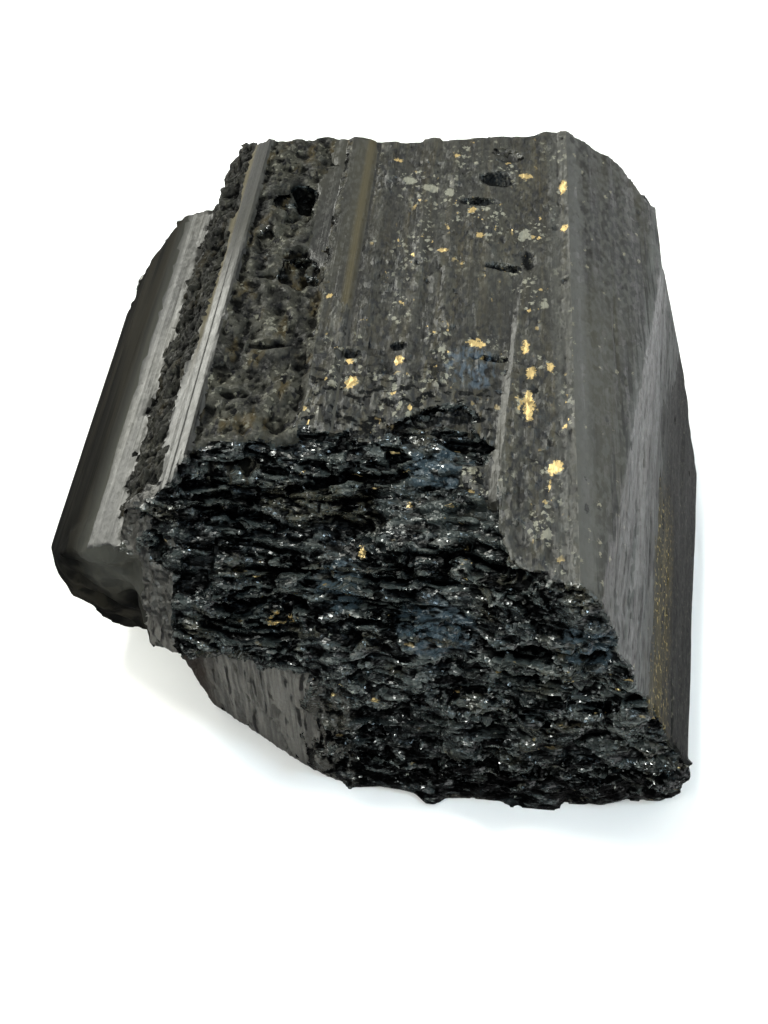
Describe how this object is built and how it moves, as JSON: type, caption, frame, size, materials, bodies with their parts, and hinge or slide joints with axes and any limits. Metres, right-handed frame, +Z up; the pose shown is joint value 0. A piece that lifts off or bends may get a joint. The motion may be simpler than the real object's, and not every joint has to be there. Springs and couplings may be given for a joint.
{
  "type": "tourmaline crystal",
  "caption": "Raw black tourmaline chunk: a broad ribbed prism with a narrower parallel crystal beside it, broken in rough ledges at both ends, lying flat.",
  "frame": {"origin": "on the flat face that the chunk rests on, near its middle", "axes": "+Y along the prism from the lower broken front end to the back, +X to the right seen from the front, +Z up"},
  "size_m": [0.0585, 0.0615, 0.029],
  "materials": {
    "schorl": "glassy black with fine lengthwise ribs, granular sparkling breaks and a few golden flecks"
  },
  "bodies": {
    "root": {"tourmaline_crystal": "schorl"}
  },
  "joints": []
}
